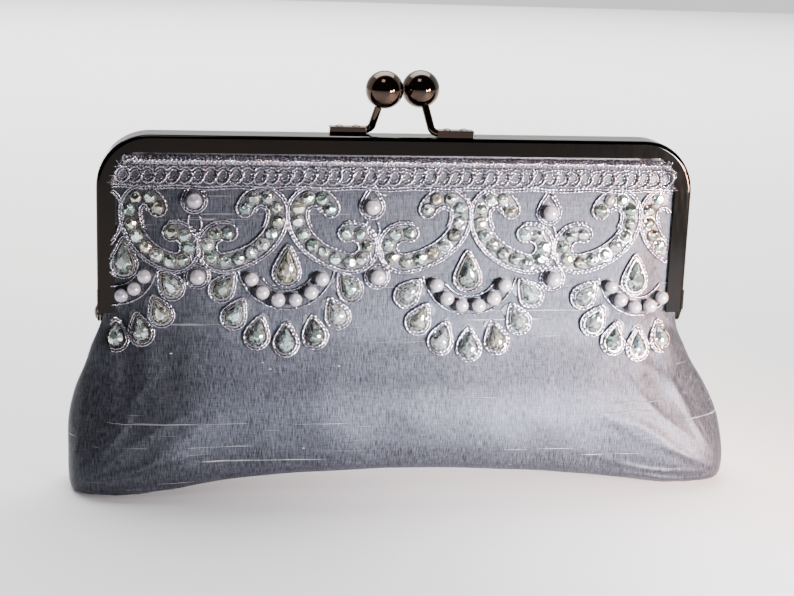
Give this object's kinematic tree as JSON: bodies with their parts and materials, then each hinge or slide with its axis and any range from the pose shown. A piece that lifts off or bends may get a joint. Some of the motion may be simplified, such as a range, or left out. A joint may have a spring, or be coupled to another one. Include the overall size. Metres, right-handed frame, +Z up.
{
  "type": "evening bag",
  "caption": "Frame clutch in slubbed silk with a hinged metal kiss-lock frame and a jewelled trim across its front.",
  "frame": {"origin": "on the resting surface, below the middle of the bag", "axes": "+X along the bag, to the right seen from the front; -Y out of the jewelled front; +Z up to the clasp"},
  "size_m": [0.2316, 0.0414, 0.1441],
  "materials": {
    "frame_metal": "polished dark nickel plate, slightly brown in the reflections",
    "clasp_metal": "polished dark nickel plate",
    "rivet_metal": "plated, domed heads",
    "paper_cord": "twisted, matt",
    "silk": "slubbed silk, soft sheen, silver grey",
    "fleece": "matt white needled fleece",
    "lining": "smooth satin lining",
    "pearl": "lustrous off-white imitation pearl",
    "crystal": "clear faceted, foil-backed",
    "setting": "bright plated cups",
    "metallic_cord": "silver metallic thread over a core"
  },
  "bodies": {
    "pouch": {"fleece_front_lower": "fleece", "fleece_rear_lower": "fleece", "lining_front_lower": "lining", "lining_rear_lower": "lining", "outer_front_lower": "silk", "outer_rear_lower": "silk"},
    "front_half": {"front_frame": "frame_metal", "front_clasp_arm": "clasp_metal", "front_clasp_ball": "clasp_metal", "front_clasp_rivets": "rivet_metal", "front_paper_cord": "paper_cord", "outer_front_upper": "silk", "fleece_front_upper": "fleece", "lining_front_upper": "lining", "outer_front_fold": "silk", "trim_braid": "metallic_cord", "trim_drop_cords": "metallic_cord", "trim_drop_cups": "setting", "trim_drops": "crystal", "trim_fan_pearls": "pearl", "trim_lone_pearl_cords": "metallic_cord", "trim_lone_pearls": "pearl", "trim_rings": "metallic_cord", "trim_scroll_cords": "metallic_cord", "trim_scroll_stones": "crystal", "trim_teardrop_cords": "metallic_cord", "trim_teardrop_cups": "setting", "trim_teardrops": "crystal"},
    "rear_half": {"rear_frame": "frame_metal", "rear_clasp_arm": "clasp_metal", "rear_clasp_ball": "clasp_metal", "rear_clasp_rivets": "rivet_metal", "rear_paper_cord": "paper_cord", "outer_rear_upper": "silk", "fleece_rear_upper": "fleece", "lining_rear_upper": "lining", "outer_rear_fold": "silk", "hinge_rivet_left": "rivet_metal", "hinge_rivet_right": "rivet_metal"}
  },
  "joints": [
    {"name": "front_hinge", "type": "hinge", "parent": "pouch", "child": "front_half", "pos_m": [0, 0, 0.06], "axis": [1, 0, 0], "range_deg": [0, 45], "deforming": ["outer_front_fold", "trim_drops", "trim_drop_cups", "trim_drop_cords", "trim_fan_pearls", "trim_teardrops", "trim_teardrop_cups", "trim_teardrop_cords", "trim_scroll_cords", "trim_lone_pearls", "trim_lone_pearl_cords"]},
    {"name": "rear_hinge", "type": "hinge", "parent": "pouch", "child": "rear_half", "pos_m": [0, 0, 0.06], "axis": [1, 0, 0], "range_deg": [-45, 0], "deforming": ["outer_rear_fold"]}
  ],
  "couplings": [
    {"joint": "rear_hinge", "follows": "front_hinge", "ratio": -1}
  ]
}
